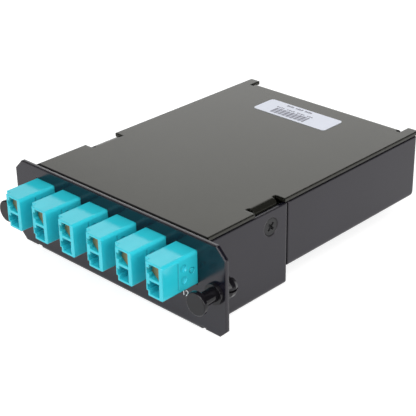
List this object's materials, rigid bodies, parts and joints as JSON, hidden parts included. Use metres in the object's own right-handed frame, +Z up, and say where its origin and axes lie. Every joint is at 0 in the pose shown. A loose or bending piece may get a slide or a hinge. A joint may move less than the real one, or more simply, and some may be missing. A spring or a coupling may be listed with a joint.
{
  "type": "fibre cassette",
  "caption": "Low metal fibre cassette with a wide eared front plate, stacked two-port aqua adapters, push-pull plungers and a screwed cover.",
  "frame": {"origin": "bottom centre of the whole part, under the front section's floor plane", "axes": "+Y back into the cassette from its front plate, +Z up, +X to the right seen from the front"},
  "size_m": [0.1112, 0.152, 0.0359],
  "materials": {
    "black_sheet": "satin black powder coat",
    "black_cover": "satin black powder coat, greyer under the light",
    "black_screw": "black finish",
    "label": "white printed film",
    "black_nylon": "moulded",
    "black_nylon_plunger": "moulded, glossy",
    "black_plastic": "moulded",
    "steel_screw": "plain",
    "grey_plastic": "moulded",
    "aqua_plastic": "moulded, satin",
    "ceramic": "ground zirconia",
    "bronze": "bronze strip"
  },
  "bodies": {
    "cassette": {"tray": "black_sheet", "cover": "black_cover", "side_screws": "black_screw", "cover_label": "label", "grommet_left": "black_nylon", "grommet_right": "black_nylon", "rear_adapter": "black_plastic", "rear_adapter_screws": "steel_screw", "fibre_spool_left": "grey_plastic", "fibre_spool_right": "grey_plastic", "adapter_front_1": "aqua_plastic", "adapter_rear_1": "aqua_plastic", "adapter_sleeves_1": "ceramic", "adapter_front_2": "aqua_plastic", "adapter_rear_2": "aqua_plastic", "adapter_sleeves_2": "ceramic", "adapter_front_3": "aqua_plastic", "adapter_rear_3": "aqua_plastic", "adapter_sleeves_3": "ceramic", "adapter_front_4": "aqua_plastic", "adapter_rear_4": "aqua_plastic", "adapter_sleeves_4": "ceramic", "adapter_front_5": "aqua_plastic", "adapter_rear_5": "aqua_plastic", "adapter_sleeves_5": "ceramic", "adapter_front_6": "aqua_plastic", "adapter_rear_6": "aqua_plastic", "adapter_sleeves_6": "ceramic"},
    "plunger_left_body": {"plunger_left": "black_nylon_plunger"},
    "plunger_right_body": {"plunger_right": "black_nylon_plunger"},
    "shutter_1_body": {"shutter_1": "bronze"},
    "shutter_2_body": {"shutter_2": "bronze"},
    "shutter_3_body": {"shutter_3": "bronze"},
    "shutter_4_body": {"shutter_4": "bronze"},
    "shutter_5_body": {"shutter_5": "bronze"},
    "shutter_6_body": {"shutter_6": "bronze"}
  },
  "joints": [
    {"name": "plunger_left_push", "type": "slide", "parent": "cassette", "child": "plunger_left_body", "axis": [0, 1, 0], "range_m": [0, 0.0055]},
    {"name": "plunger_right_push", "type": "slide", "parent": "cassette", "child": "plunger_right_body", "axis": [0, 1, 0], "range_m": [0, 0.0055]},
    {"name": "shutter_1_swing", "type": "hinge", "parent": "cassette", "child": "shutter_1_body", "pos_m": [-0.0347, -0.0755, 0.02768], "axis": [0, 0, -1], "range_deg": [0, 72], "stiffness_Nm_per_rad": 0.00002},
    {"name": "shutter_2_swing", "type": "hinge", "parent": "cassette", "child": "shutter_2_body", "pos_m": [-0.0197, -0.0755, 0.02768], "axis": [0, 0, -1], "range_deg": [0, 72], "stiffness_Nm_per_rad": 0.00002},
    {"name": "shutter_3_swing", "type": "hinge", "parent": "cassette", "child": "shutter_3_body", "pos_m": [-0.0047, -0.0755, 0.02768], "axis": [0, 0, -1], "range_deg": [0, 72], "stiffness_Nm_per_rad": 0.00002},
    {"name": "shutter_4_swing", "type": "hinge", "parent": "cassette", "child": "shutter_4_body", "pos_m": [0.0103, -0.0755, 0.02768], "axis": [0, 0, -1], "range_deg": [0, 72], "stiffness_Nm_per_rad": 0.00002},
    {"name": "shutter_5_swing", "type": "hinge", "parent": "cassette", "child": "shutter_5_body", "pos_m": [0.0253, -0.0755, 0.02768], "axis": [0, 0, -1], "range_deg": [0, 72], "stiffness_Nm_per_rad": 0.00002},
    {"name": "shutter_6_swing", "type": "hinge", "parent": "cassette", "child": "shutter_6_body", "pos_m": [0.0403, -0.0755, 0.02768], "axis": [0, 0, -1], "range_deg": [0, 72], "stiffness_Nm_per_rad": 0.00002}
  ]
}
